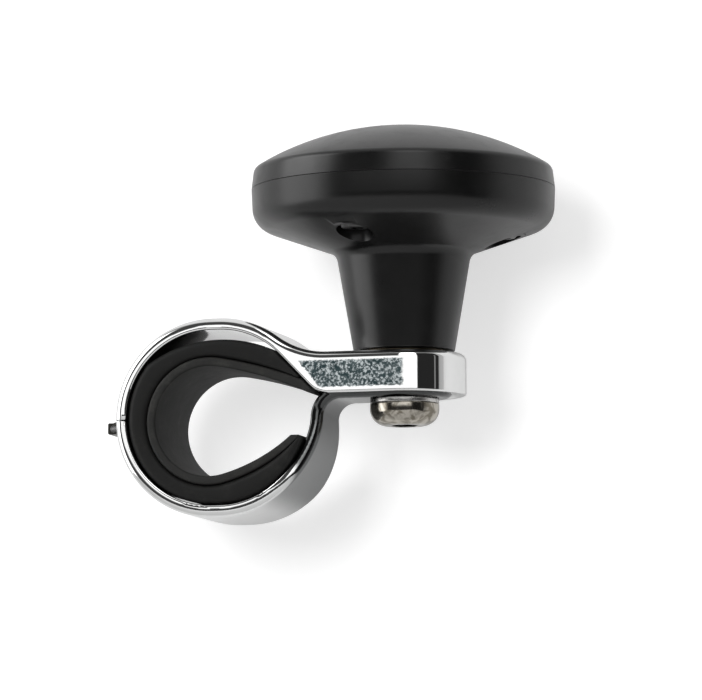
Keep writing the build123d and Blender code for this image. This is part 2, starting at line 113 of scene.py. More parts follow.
class Finish(Tree):
    """A Principled material. Its constants are set on the sockets, and what varies is linked."""

    def __init__(self, name, **constants):
        self.material = bpy.data.materials.new(name)
        self.material.use_nodes = True
        super().__init__(self.material.node_tree)
        self.surface = self.tree.nodes["Principled BSDF"]
        self.place = self.node("ShaderNodeTexCoord", output="Object")
        for socket, value in constants.items():
            self.surface.inputs[socket.replace("_", " ")].default_value = value

    def drive(self, socket, signal):
        self.tree.links.new(signal.socket, self.surface.inputs[socket])

    def driven(self, socket):
        """The signal that drives a socket so far."""
        return Signal(self, self.surface.inputs[socket].links[0].from_socket)

    def axes(self):
        """Object position in millimetres, as three signals."""
        parts = self.node("ShaderNodeSeparateXYZ", None, {"Vector": self.place})
        return [parts.output(axis) * (1 / MM) for axis in "XYZ"]

    def stretched(self, x, y, z):
        """Object position, scaled on each axis to draw a grain out along one of them."""
        return self.node("ShaderNodeMapping", None, {"Vector": self.place, "Scale": (x, y, z)})

    def noise(self, size, detail=3.0, roughness=0.5, distortion=0.0, place=None):
        """Noise from 0 to 1 whose features are about a size in millimetres."""
        return self.node(
            "ShaderNodeTexNoise",
            None,
            {
                "Vector": place or self.place,
                "Scale": 1.0 / (size * MM),
                "Detail": detail,
                "Roughness": roughness,
                "Distortion": distortion,
            },
        )

    def blend(self, factor, first, second):
        """Colour between two colours or colour signals."""
        return self.node(
            "ShaderNodeMix",
            {"data_type": "RGBA"},
            {0: factor, 6: first, 7: second},
            output=2,
        )

    def bump(self, height, strength, depth, normal=None):
        """Normal for a height signal whose full range is a depth in millimetres."""
        inputs = {"Height": height, "Strength": strength, "Distance": depth * MM}
        if normal:
            inputs["Normal"] = normal
        return self.node("ShaderNodeBump", None, inputs)


def shade(red, green, blue):
    return (red, green, blue, 1.0)


def fine_scratches(finish, size):
    """Thin bright lines drawn out along X, from 0 to 1."""
    streaks = finish.noise(size, 2.0, 0.6, place=finish.stretched(0.04, 1.0, 1.0))
    return streaks.between(0.66, 0.72)


def black_plastic():
    """Moulded black plastic, half gloss, with a fine grain and a little handling wear."""
    finish = Finish("black_moulded_plastic", IOR=1.46)
    broad = finish.noise(14.0, 3.0)
    grain = finish.noise(0.35, 2.0, 0.6)
    handled = finish.noise(5.0, 5.0, 0.65).between(0.45, 0.75)
    scuffs = fine_scratches(finish, 0.5) * handled
    tint = finish.blend(broad, shade(0.0018, 0.0018, 0.002), shade(0.004, 0.004, 0.0038))
    finish.drive("Base Color", finish.blend(scuffs * 0.3, tint, shade(0.03, 0.03, 0.029)))
    finish.drive("Roughness", 0.24 + broad * 0.07 + handled * 0.06 + grain * 0.03)
    pores = finish.noise(1.4, 3.0, 0.55)
    normal = finish.bump(pores, 0.16, 0.03)
    finish.drive("Normal", finish.bump(grain, 0.2, 0.012, normal))
    return finish.material


def chrome(name, tone, waviness):
    """Polished chrome plate, slightly wavy, with hairlines and haze, and painted shade on its hinge
    end.
    """
    finish = Finish(name, Metallic=1.0)
    haze = finish.noise(6.0, 4.0, 0.6).between(0.4, 0.8)
    hairlines = fine_scratches(finish, 0.25)
    clean = shade(tone, tone * 1.004, tone)
    dull_and_painted_dark = shade(tone * 0.93, tone * 0.935, tone * 0.93)
    plate = finish.blend(haze * 0.6 + hairlines * 0.25, clean, dull_and_painted_dark)
    # Painted shade: past HINGE_EDGE_X the hinge end gets a near black colour, and more roughness.
    hinge = finish.axes()[0].between(HINGE_EDGE_X, HINGE_EDGE_X - 0.5)
    finish.drive("Base Color", finish.blend(hinge, plate, shade(0.07, 0.068, 0.062)))
    finish.drive("Roughness", 0.04 + haze * 0.03 + hairlines * 0.05 + hinge * 0.3)
    wave = finish.noise(9.0, 2.0)
    orange_peel = finish.noise(0.9, 2.0)
    normal = finish.bump(wave, 0.5, waviness)
    finish.drive("Normal", finish.bump(orange_peel, 0.25, 0.002, normal))
    return finish


# The painted reflection on the arm's flat sides, a dark speckled patch: its ends, its slanted left
# end and its height.
# What tells a side from the middle is the square of the distance from the clamp's mid plane.
REFLECTION_LEFT, REFLECTION_RIGHT = 23.3, 40.3
REFLECTION_SLANT, REFLECTION_SLANT_Z = 0.8, 5.95
REFLECTION_LOW, REFLECTION_HIGH = 6.1, 11.5
SIDE_SQUARE_FROM, SIDE_SQUARE_TO = 136.0, 139.0


def bracket_chrome():
    """Chrome plate of the casting, with a painted reflection on the flat sides of the arm: a dark,
    speckled patch.
    """
    finish = chrome("casting_chrome", 0.86, 0.008)
    x, y, z = finish.axes()
    ragged = finish.noise(0.9, 3.0, 0.7) * 1.6 - 0.8
    left = x + (z - REFLECTION_SLANT_Z) * REFLECTION_SLANT + ragged
    painted_reflection = left.between(REFLECTION_LEFT - 0.25, REFLECTION_LEFT + 0.25)
    painted_reflection = painted_reflection * (x + ragged * 0.9).between(REFLECTION_RIGHT + 0.4, REFLECTION_RIGHT - 0.4)
    painted_reflection = painted_reflection * (z + ragged * 0.5).within(REFLECTION_LOW, REFLECTION_HIGH, 0.2)
    painted_reflection = painted_reflection * (y * y).between(SIDE_SQUARE_FROM, SIDE_SQUARE_TO)
    # Painted reflection: a dark teal mottle with pale specks, laid into the chrome's colour, and a
    # little rougher there.
    specks = finish.noise(0.55, 4.0, 0.75).between(0.47, 0.6)
    drift = finish.noise(4.0, 2.0).between(0.3, 0.75)
    dark = finish.blend(drift, shade(0.022, 0.042, 0.046), shade(0.06, 0.085, 0.09))
    mottle = finish.blend(specks, dark, shade(0.5, 0.54, 0.55))
    finish.drive("Base Color", finish.blend(painted_reflection, finish.driven("Base Color"), mottle))
    finish.drive("Roughness", finish.driven("Roughness") + painted_reflection * 0.1)
    return finish.material


# The strap's outside, painted dark as a dark reflection: where it starts round the ring, its edges
# and its height
PAINTED_DARK_FROM_X, PAINTED_DARK_TO_X = 9.0, 16.0
EDGE_SQUARE_FROM, EDGE_SQUARE_TO = 142.0, 120.0
PAINTED_DARK_LOW, PAINTED_DARK_HIGH = -12.0, 3.0


def strap_chrome():
    """Chrome of the strap, with a painted dark reflection on the broad outside that faces the knob,
    which is rougher too.
    """
    finish = chrome("strap_chrome", 0.8, 0.01)
    x, y, z = finish.axes()
    wall = x.between(PAINTED_DARK_FROM_X, PAINTED_DARK_TO_X) * (y * y).between(EDGE_SQUARE_FROM, EDGE_SQUARE_TO)
    # Painted reflection: a dark grey in the outside's colour, a little lighter low down and darker
    # higher up.
    low, high = shade(0.15, 0.155, 0.155), shade(0.085, 0.087, 0.087)
    dull_and_painted_dark = finish.blend(z.between(PAINTED_DARK_LOW, PAINTED_DARK_HIGH), low, high)
    finish.drive("Base Color", finish.blend(wall, finish.driven("Base Color"), dull_and_painted_dark))
    finish.drive("Roughness", finish.driven("Roughness") + wall * 0.08)
    return finish.material


def liner_rubber(name, tone, dusty):
    """Matte moulded rubber with a fine mottle and patches of dust."""
    finish = Finish(name, IOR=1.36)
    mottle = finish.noise(2.2, 4.0, 0.6)
    grit = finish.noise(0.25, 2.0)
    dust = finish.noise(3.5, 5.0, 0.7).between(0.5, 0.85)
    dark = shade(tone * 0.75, tone * 0.75, tone * 0.74)
    light = shade(tone * 1.3, tone * 1.3, tone * 1.22)
    base = finish.blend(mottle, dark, light)
    finish.drive("Base Color", finish.blend(dust * dusty, base, shade(0.09, 0.09, 0.08)))
    finish.drive("Roughness", 0.5 + mottle * 0.16 + grit * 0.08)
    normal = finish.bump(mottle, 0.35, 0.05)
    finish.drive("Normal", finish.bump(grit, 0.4, 0.02, normal))
    return finish.material


def nickel(name, tone, warmth, dapple, smooth):
    """Plated steel, warm or cold, with painted reflections as dark dapples, and a little tarnish.
    """
    finish = Finish(name, Metallic=1.0)
    painted_reflection_dapples = finish.noise(2.6, 3.0, 0.6, 0.8).between(0.4, 0.62)
    fleck = finish.noise(0.5, 3.0, 0.6)
    # Painted reflection: the darker side of the blend below is dapples laid into the colour, with
    # fine flecks of tarnish.
    deep = tone * dapple
    bright = shade(tone, tone * (1 - warmth * 0.35), tone * (1 - warmth))
    dull_and_painted_dark = shade(deep, deep * (1 - warmth * 0.7), deep * (1 - warmth * 1.9))
    finish.drive("Base Color", finish.blend(painted_reflection_dapples * 0.8 + fleck * 0.15, bright, dull_and_painted_dark))
    finish.drive("Roughness", smooth + painted_reflection_dapples * 0.06 + fleck * 0.04)
    finish.drive("Normal", finish.bump(fleck, 0.2, 0.006))
    return finish.material


def turned_steel(name, red, green, blue, smooth):
    """Machined metal whose tool marks run round the knob's axis."""
    finish = Finish(name, Metallic=1.0)
    rings = finish.noise(0.12, 2.0, 0.6, place=finish.stretched(0.05, 0.05, 1.0))
    stain = finish.noise(2.0, 4.0, 0.6).between(0.5, 0.8)
    clean = shade(red, green, blue)
    worn = shade(red * 0.6, green * 0.58, blue * 0.55)
    finish.drive("Base Color", finish.blend(stain * 0.5 + rings * 0.15, clean, worn))
    finish.drive("Roughness", smooth + rings * 0.12 + stain * 0.1)
    finish.drive("Normal", finish.bump(rings, 0.3, 0.006))
    return finish.material


plastic_finish = black_plastic()
casting_finish = bracket_chrome()
strap_finish = strap_chrome()
outer_rubber = liner_rubber("outer_liner_rubber", 0.006, 0.1)
inner_rubber = liner_rubber("inner_liner_rubber", 0.016, 0.3)
bolt_finish = nickel("bolt_nickel", 0.5, 0.17, 0.3, 0.1)
zinc_finish = nickel("washer_zinc", 0.6, 0.03, 0.6, 0.22)
# The cap screws' zinc is painted very dark: painted shade, as they sit deep in their counterbores.
screw_painted_shade_finish = nickel("screw_zinc_painted_shade", 0.14, 0.0, 0.6, 0.26)
pin_finish = turned_steel("pin_steel", 0.5, 0.5, 0.5, 0.2)
spindle_finish = turned_steel("spindle_steel", 0.5, 0.5, 0.51, 0.18)
bearing_finish = turned_steel("bearing_steel", 0.68, 0.68, 0.69, 0.12)
bronze_finish = turned_steel("bearing_bronze", 0.45, 0.3, 0.14, 0.28)
# The thrust washer's bronze is coloured very dark.
dark_bronze_finish = turned_steel("dark_bronze", 0.1, 0.085, 0.06, 0.35)
seal_rubber = liner_rubber("seal_rubber", 0.012, 0.1)


def rounded(corners, step=7.5):
    """Points of a closed outline whose corners (x, y, radius) are rounded, by steps in degrees."""
    points = []
    for k, (x, y, radius) in enumerate(corners):
        here = Vector((x, y))
        if radius == 0:
            points.append(here)
            continue
        back = (Vector(corners[k - 1][:2]) - here).normalized()
        ahead = (Vector(corners[(k + 1) % len(corners)][:2]) - here).normalized()
        half = back.angle(ahead) / 2
        centre = here + (back + ahead).normalized() * (radius / sin(half))
        start = here + back * (radius / tan(half)) - centre
        end = here + ahead * (radius / tan(half)) - centre
        first = atan2(start.y, start.x)
        turn = (atan2(end.y, end.x) - first + pi) % (2 * pi) - pi
        count = max(2, ceil(degrees(abs(turn)) / step))
        for j in range(count + 1):
            angle = first + turn * j / count
            points.append(centre + Vector((cos(angle), sin(angle))) * radius)
    return points


def link(name, data):
    """Puts a mesh, a camera or a lamp into the scene."""
    piece = bpy.data.objects.new(name, data)
    bpy.context.scene.collection.objects.link(piece)
    return piece


def new_piece(name, bm, finish, crease=CREASE):
    """Writes a mesh in millimetres as an object in metres, smooth but for its sharp edges."""
    bmesh.ops.remove_doubles(bm, verts=bm.verts, dist=1e-5)
    bmesh.ops.recalc_face_normals(bm, faces=bm.faces)
    bmesh.ops.scale(bm, vec=(MM, MM, MM), verts=bm.verts)
    mesh = bpy.data.meshes.new(name)
    bm.to_mesh(mesh)
    bm.free()
    mesh.shade_smooth()
    mesh.set_sharp_from_angle(angle=radians(crease))
    mesh.materials.append(finish)
    return link(name, mesh)


def turned(outline, steps=LATHE_STEPS, centre=(KNOB_X, 0.0)):
    """Mesh of a closed outline of (radius, height), turned about a vertical axis."""
    bm = bmesh.new()
    angles = [2 * pi * k / steps for k in range(steps)]
    rings = []
    for radius, height in outline:
        if radius < 1e-6:
            rings.append([bm.verts.new((*centre, height))])
        else:
            rings.append(
                [
                    bm.verts.new((centre[0] + radius * cos(a), centre[1] + radius * sin(a), height))
                    for a in angles
                ]
            )
    for lower, upper in zip(rings, rings[1:] + rings[:1]):
        if len(lower) == 1 and len(upper) == 1:
            continue
        for k in range(steps):
            j = (k + 1) % steps
            if len(lower) == 1:
                bm.faces.new((lower[0], upper[j], upper[k]))
            elif len(upper) == 1:
                bm.faces.new((lower[k], lower[j], upper[0]))
            else:
                bm.faces.new((lower[k], lower[j], upper[j], upper[k]))
    return bm


def lathe(name, outline, finish, steps=LATHE_STEPS, centre=(KNOB_X, 0.0), crease=CREASE):
    return new_piece(name, turned(outline, steps, centre), finish, crease)


def settle(piece):
    """Applies a piece's modifiers to its mesh."""
    seen = piece.evaluated_get(bpy.context.evaluated_depsgraph_get())
    mesh = bpy.data.meshes.new_from_object(seen)
    piece.modifiers.clear()
    old = piece.data
    piece.data = mesh
    bpy.data.meshes.remove(old)
    return piece


def combine(piece, others, operation, crease=CREASE):
    """Joins other pieces to a piece, or takes them out of it, and deletes them."""
    for other in others:
        step = piece.modifiers.new("combine", "BOOLEAN")
        step.operation = operation
        step.solver = "EXACT"
        step.object = other
    settle(piece)
    for other in others:
        bpy.data.objects.remove(other)
    piece.data.set_sharp_from_angle(angle=radians(crease))
    return piece


def soften(piece, width):
    """Rounds a piece's sharp edges by a width in millimetres."""
    sharp = radians(40.0)
    step = piece.modifiers.new("soften", "BEVEL")
    step.width = width * MM
    step.segments = 3
    step.limit_method = "ANGLE"
    step.angle_limit = sharp
    settle(piece)
    piece.data.shade_smooth()
    piece.data.set_sharp_from_angle(angle=sharp)
    return piece


def merged_copy(node):
    """A CAD node's mesh in millimetres, with its split vertices merged."""
    bm = bmesh.new()
    bm.from_mesh(cad_nodes[node].data)
    bmesh.ops.remove_doubles(bm, verts=bm.verts, dist=1e-6)
    bmesh.ops.scale(bm, vec=(1 / MM, 1 / MM, 1 / MM), verts=bm.verts)
    return bm


def weigh_normals(piece):
    """Keeps flat faces flat in their shading, and leaves the bending to the rounds between."""
    step = piece.modifiers.new("weigh", "WEIGHTED_NORMAL")
    step.mode = "FACE_AREA_WITH_ANGLE"
    step.keep_sharp = True
    return settle(piece)


def stand_for(piece, node, body):
    """Lets a finished piece take the place of a CAD node."""
    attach(piece, body)
    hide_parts(node)


def round_places(radius, turns):
    """Points (x, y) on a circle about the knob's axis."""
    return [(KNOB_X + radius * cos(turn), radius * sin(turn)) for turn in turns]


# Screws that hold the cap
SCREW_TURNS = [radians(angle) for angle in (255.0, 15.0, 135.0)]
SCREW_PITCH = 20.0
SCREW_SEAT_Z = STEM_Z + 25.1
screw_centres = round_places(SCREW_PITCH, SCREW_TURNS)

# Knob body: radii, and heights above the rim's centre
STEM_FOOT_RADIUS = 10.2
STEM_TOP_RADIUS, STEM_TOP_Z = 13.6, STEM_Z + 19.9
HEAD_RADIUS = 30.7
HEAD_LOW_RADIUS, HEAD_LOW_Z = 30.4, STEM_Z + 25.8
SHELL_TOP_Z = SEAM_Z - 0.05
SHELL_INSIDE_RADIUS, SHELL_INSIDE_Z = 27.9, 42.2
HUB_FOOT_RADIUS, HUB_FOOT_Z = 12.6, 36.5
HUB_RADIUS, HUB_TOP_Z = 10.1, 36.1
BEARING_RADIUS, BEARING_TOP_Z = 8.0, 24.9
BUSH_SEAT_RADIUS, BUSH_SEAT_Z = 6.8, 28.1
BOSS_RADIUS, BOSS_FLOOR = 4.8, 1.5
COUNTERBORE_RADIUS, SHANK_HOLE_RADIUS = 3.75, 1.8


def knob_shell():
    """The stem and the lower shell of the head, with a boss and a counterbore for each screw."""
    outline = [
        (BEARING_RADIUS, STEM_Z, 0.15),
        (STEM_FOOT_RADIUS, STEM_Z, 0.5),
        (STEM_TOP_RADIUS, STEM_TOP_Z, 2.6),
        (HEAD_LOW_RADIUS, HEAD_LOW_Z, 4.8),
        (HEAD_RADIUS, SHELL_TOP_Z, 0.1),
        (SHELL_INSIDE_RADIUS, SHELL_TOP_Z, 0.1),
        (SHELL_INSIDE_RADIUS, SHELL_INSIDE_Z, 2.0),
        (HUB_FOOT_RADIUS, HUB_FOOT_Z, 1.0),
        (HUB_RADIUS, HUB_TOP_Z, 0),
        (BEARING_RADIUS, HUB_TOP_Z, 0),
        (BEARING_RADIUS, BUSH_SEAT_Z, 0),
        (BUSH_SEAT_RADIUS, BUSH_SEAT_Z, 0),
        (BUSH_SEAT_RADIUS, BEARING_TOP_Z, 0),
        (BEARING_RADIUS, BEARING_TOP_Z, 0),
    ]
    shell = lathe("stem_and_shell", rounded(outline), plastic_finish)
    boss_low, above = SCREW_SEAT_Z - BOSS_FLOOR, SEAM_Z + 1.0
    boss = [(BOSS_RADIUS, boss_low), (BOSS_RADIUS, SHELL_TOP_Z), (0, SHELL_TOP_Z), (0, boss_low)]
    bore = [
        (COUNTERBORE_RADIUS, STEM_Z),
        (COUNTERBORE_RADIUS, SCREW_SEAT_Z),
        (SHANK_HOLE_RADIUS, SCREW_SEAT_Z),
        (SHANK_HOLE_RADIUS, above),
        (0, above),
        (0, STEM_Z),
    ]
    bosses = [lathe("boss", boss, plastic_finish, 48, centre) for centre in screw_centres]
    bores = [lathe("bore", bore, plastic_finish, 64, centre) for centre in screw_centres]
    combine(shell, bosses, "UNION")
    combine(shell, bores, "DIFFERENCE")
    return shell


stand_for(knob_shell(), "knob_body", "knob")


# Knob cap: the dome above the seam, whose lip drops into the shell
CAP_RIM_RADIUS, CAP_RIM_Z = 30.2, STEM_Z + 37.2
CROWN_RISE = 8.6
CAP_WALL = 2.4
LIP_INSIDE_RADIUS, LIP_RADIUS, LIP_DEPTH = 26.6, 27.8, 2.0
DOME_STEPS = 36


def arc(radius, centre_z, first, last):
    """Points (radius, height) of an arc about a point of the knob's axis."""
    turns = [first + (last - first) * k / DOME_STEPS for k in range(DOME_STEPS + 1)]
    return [Vector((radius * cos(turn), centre_z + radius * sin(turn))) for turn in turns]


def dome_shell():
    crown_z = CAP_RIM_Z + CROWN_RISE
    bend = (CAP_RIM_RADIUS**2 + CROWN_RISE**2) / (2 * CROWN_RISE)
    centre_z = crown_z - bend
    edge = atan2(CAP_RIM_Z - centre_z, CAP_RIM_RADIUS) + radians(1.2)
    top = arc(bend, centre_z, edge, pi / 2)
    shoulder = rounded(
        [
            (HEAD_RADIUS, SEAM_Z, 0.1),
            (CAP_RIM_RADIUS, CAP_RIM_Z, 1.6),
            (top[1].x, top[1].y, 0),
            (LIP_RADIUS - 0.5, SEAM_Z, 0),
        ]
    )
    wall = [p for p in shoulder if p.x > LIP_RADIUS and (p - top[1]).length >= 1e-6]
    below = bend - CAP_WALL
    side = atan2(sqrt(below**2 - LIP_INSIDE_RADIUS**2), LIP_INSIDE_RADIUS)
    ceiling = arc(below, centre_z, pi / 2, side)
    lip = [
        Vector((LIP_INSIDE_RADIUS, SEAM_Z - LIP_DEPTH)),
        Vector((LIP_RADIUS, SEAM_Z - LIP_DEPTH)),
        Vector((LIP_RADIUS, SEAM_Z)),
    ]
    return lathe("domed_cover", wall + top[1:] + ceiling + lip, plastic_finish)


stand_for(dome_shell(), "knob_cap", "knob")


def spread(name, one, places, finish):
    """Copies of one object at places in millimetres, made by a node group."""
    group = bpy.data.node_groups.new(name, "GeometryNodeTree")
    group.interface.new_socket("Places", in_out="INPUT", socket_type="NodeSocketGeometry")
    group.interface.new_socket("One", in_out="INPUT", socket_type="NodeSocketObject")
    group.interface.new_socket("Result", in_out="OUTPUT", socket_type="NodeSocketGeometry")
    tree = Tree(group)
    given = tree.node("NodeGroupInput")
    shape = tree.node("GeometryNodeObjectInfo", None, {"Object": given.output("One")}, "Geometry")
    copies = tree.node(
        "GeometryNodeInstanceOnPoints", None, {"Points": given.output("Places"), "Instance": shape}
    )
    real = tree.node("GeometryNodeRealizeInstances", None, {0: copies})
    painted = tree.node("GeometryNodeSetMaterial", None, {0: real, "Material": finish})
    tree.node("NodeGroupOutput", None, {0: painted})
    points = bpy.data.meshes.new(name)
    points.from_pydata([Vector(place) * MM for place in places], [], [])
    piece = link(name, points)
    step = piece.modifiers.new(name, "NODES")
    step.node_group = group
    sockets = {item.name: item.identifier for item in group.interface.items_tree}
    step[sockets["One"]] = one
    settle(piece)
    bpy.data.objects.remove(one)
    piece.data.set_sharp_from_angle(angle=radians(CREASE))
    return piece


def cap_screw():
    """One screw with a low domed head, a cross recess and a shank, seated at height zero."""
    head, shank, length = 3.0, 1.6, 16.0
    outline = rounded(
        [(0, -2.2, 0), (2.5, -2.05, 0.5), (head, -1.5, 0.3), (head, 0, 0.15), (shank, 0, 0)]
    )
    outline += [Vector((shank, length - 0.8)), Vector((0.9, length)), Vector((0, length))]
    screw = lathe("one_screw", outline, screw_painted_shade_finish, 48, (0.0, 0.0))
    slot_size = (3.4, 0.9, 2.4)
    slots = []
    for turn in (0, pi / 2):
        bm = bmesh.new()
        bmesh.ops.create_cube(bm, size=1.0)
        bmesh.ops.scale(bm, vec=slot_size, verts=bm.verts)
        bmesh.ops.translate(bm, vec=(0, 0, -2.2), verts=bm.verts)
        bmesh.ops.rotate(bm, matrix=Matrix.Rotation(turn, 3, "Z"), verts=bm.verts)
        slots.append(new_piece("slot", bm, screw_painted_shade_finish))
    return combine(screw, slots, "DIFFERENCE")


screw_places = [(*centre, SCREW_SEAT_Z) for centre in screw_centres]
screws = spread("domed_screws", cap_screw(), screw_places, screw_painted_shade_finish)
stand_for(screws, "cap_screws", "knob")


# Clamp bolt: a rounded head with a hexagon socket, and a rolled thread on its shank
FOOT_BOTTOM = 4.4
WASHER_THICKNESS = 1.0
WASHER_BORE_RADIUS = 4.2
BOLT_HEAD_RADIUS, BOLT_HEAD_HEIGHT = 7.0, 4.4
BOLT_HEAD_EDGE, BOLT_HEAD_FLAT = 1.1, 3.2
BOLT_LENGTH = 12.0
HEAD_TOP = FOOT_BOTTOM - WASHER_THICKNESS
HEAD_BOTTOM = HEAD_TOP - BOLT_HEAD_HEIGHT
BOLT_TOP = HEAD_TOP + BOLT_LENGTH
SHANK_RADIUS = 3.4
SOCKET_FLATS, SOCKET_DEPTH = 5.0, 2.6
THREAD_PITCH, THREAD_CREST, THREAD_ROOT = 1.25, 3.93, 3.38
THREAD_LEAVE = 0.9
THREAD_STEPS = 48


def threaded_bolt():
    """The head's crown is an arc from its flat end up to its short straight side."""
    side_z = HEAD_TOP - BOLT_HEAD_EDGE
    rise, reach = side_z - HEAD_BOTTOM, BOLT_HEAD_RADIUS - BOLT_HEAD_FLAT
    bend = (rise**2 + reach**2) / (2 * reach)
    first = atan2(-rise, bend - reach)
    count = 12
    turns = [first * (1 - k / count) for k in range(count + 1)]
    centre = BOLT_HEAD_RADIUS - bend
    crown = [(centre + bend * cos(turn), side_z + bend * sin(turn), 0) for turn in turns]
    shank = [
        (BOLT_HEAD_RADIUS, HEAD_TOP, 0.25),
        (SHANK_RADIUS, HEAD_TOP, 0),
        (SHANK_RADIUS, BOLT_TOP - 1.0, 0),
        (SHANK_RADIUS - 0.5, BOLT_TOP, 0),
        (0, BOLT_TOP, 0),
    ]
    outline = rounded([(0, HEAD_BOTTOM, 0)] + crown + shank)
    bolt = lathe("button_head_bolt", outline, bolt_finish, 96)
    corner = SOCKET_FLATS / 2 / cos(pi / 6)
    below, seat = HEAD_BOTTOM - 1.0, HEAD_BOTTOM + SOCKET_DEPTH
    hexagon = [(0, below), (corner, below), (corner, seat), (0, seat)]
    return combine(bolt, [lathe("socket", hexagon, bolt_finish, 6)], "DIFFERENCE", 30.0)


def thread_ridge():
    """A helical ridge round the shank that runs out over half a turn at both ends."""
    low, high = HEAD_TOP + THREAD_LEAVE, BOLT_TOP - THREAD_LEAVE
    count = int((high - low) / THREAD_PITCH * THREAD_STEPS)
    half_turn = THREAD_STEPS / 2
    bm = bmesh.new()
    rows = []
    for k in range(count + 1):
        angle = 2 * pi * k / THREAD_STEPS
        height = low + THREAD_PITCH * k / THREAD_STEPS
        fade = min(1.0, k / half_turn, (count - k) / half_turn)
        peak = THREAD_ROOT + (THREAD_CREST - THREAD_ROOT) * fade
        profile = [(THREAD_ROOT, -0.5), (peak, -0.1), (peak, 0.1), (THREAD_ROOT, 0.5)]
        rows.append(
            [
                bm.verts.new((KNOB_X + r * cos(angle), r * sin(angle), height + z * THREAD_PITCH))
                for r, z in profile
            ]
        )
    for near, far in zip(rows, rows[1:]):
        for j in range(4):
            bm.faces.new((near[j], near[(j + 1) % 4], far[(j + 1) % 4], far[j]))
    for end in (rows[0], rows[-1]):
        bm.faces.new(end)
    return new_piece("bolt_thread", bm, bolt_finish, 25.0)


stand_for(threaded_bolt(), "clamp_bolt", "bolt")
ridge = thread_ridge()
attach(ridge, "bolt")

washer_outline = [
    (WASHER_BORE_RADIUS, HEAD_TOP, 0.12),
    (BOLT_HEAD_RADIUS, HEAD_TOP, 0.22),
    (BOLT_HEAD_RADIUS, FOOT_BOTTOM, 0.22),
    (WASHER_BORE_RADIUS, FOOT_BOTTOM, 0.12),
]
washer = lathe("flat_washer", rounded(washer_outline, 22.5), zinc_finish, 128)
stand_for(washer, "bolt_washer", "bolt")


def plated(node, name, finish):
    """A casting or strap keeps the solid's own shape, and its rounds are shaded smooth."""
    return weigh_normals(new_piece(name, merged_copy(node), finish, 28.0))


bracket = plated("upper_bracket", "arm_and_half_ring", casting_finish)
stand_for(bracket, "upper_bracket", "clamp")
jaw = plated("lower_jaw", "strap_and_foot", strap_finish)
stand_for(jaw, "lower_jaw", "jaw")


def face_outline(node):
    """Outline (x, z) of a node's flat front face in millimetres, in order, and the face's y."""
    bm = merged_copy(node)
    front = min(vert.co.y for vert in bm.verts)
    faces = [f for f in bm.faces if all(abs(v.co.y - front) < 1e-3 for v in f.verts)]
    inside = set(faces)
    ahead = {}
    for face in faces:
        for loop in face.loops:
            if sum(other in inside for other in loop.edge.link_faces) == 1:
                ahead[loop.vert] = loop.link_loop_next.vert
    start = next(iter(ahead))
    chain = [start]
    while ahead[chain[-1]] is not start:
        chain.append(ahead[chain[-1]])
    points = [Vector((vert.co.x, vert.co.z)) for vert in chain]
    bm.free()
    return points, front


def thickness(points, k, inward):
    """Distance from a point of an outline, straight in, to its other side."""
    best = 1e3
    here = points[k]
    count = len(points)
    for j in range(count):
        if j in (k, (k - 1) % count):
            continue
        first, second = points[j] - here, points[(j + 1) % count] - here
        along = second - first
        cross = inward.x * along.y - inward.y * along.x
        if abs(cross) < 1e-9:
            continue
        reach = (first.x * along.y - first.y * along.x) / cross
        share = (first.x * inward.y - first.y * inward.x) / cross
        if reach > 1e-4 and -1e-6 <= share <= 1 + 1e-6:
            best = min(best, reach)
    return best


# Liners: the rounding of their ends' corners and of their front and back edges
LINER_CORNER = 0.35
BAND_EDGE, STRIP_EDGE = 1.3, 0.65
CORNER_HALF_ANGLE = radians(72)
SHORTEST_STEP = 0.03
EDGE_STEPS = 6
SMOOTHING_ROUNDS = 6


def blunted(points):
    """An outline, counterclockwise, with its sharp corners rounded as far as they have room."""
    if sum(p.x * q.y - p.y * q.x for p, q in zip(points, points[1:] + points[:1])) < 0:
        points.reverse()
    corners = []
    for k, point in enumerate(points):
        back, ahead = points[k - 1] - point, points[(k + 1) % len(points)] - point
        half = back.angle(ahead) / 2
        room = 0.4 * min(back.length, ahead.length) * tan(half)
        radius = min(LINER_CORNER, room) if half < CORNER_HALF_ANGLE else 0
        corners.append((point.x, point.y, radius))
    points = rounded(corners, 22.5)
    before = points[-1:] + points[:-1]
    return [p for p, last in zip(points, before) if (p - last).length > SHORTEST_STEP]


def edge_depths(points, radius):
    """The way in from each point of an outline, and how deep its edge may be rounded there."""
    count = len(points)
    inward, depth = [], []
    for k, point in enumerate(points):
        back, ahead = point - points[k - 1], points[(k + 1) % count] - point
        along = (back.normalized() + ahead.normalized()).normalized()
        inward.append(Vector((-along.y, along.x)))
        turn = max(1e-6, -back.angle_signed(ahead))
        bend = min(back.length, ahead.length) / turn
        depth.append(min(radius, 0.36 * thickness(points, k, inward[k]), 0.7 * bend))
    for _ in range(SMOOTHING_ROUNDS):
        ahead = depth[1:] + depth[:1]
        mean = [(depth[k - 1] + depth[k] + ahead[k]) / 3 for k in range(count)]
        depth = [min(pair) for pair in zip(depth, mean)]
    return inward, depth


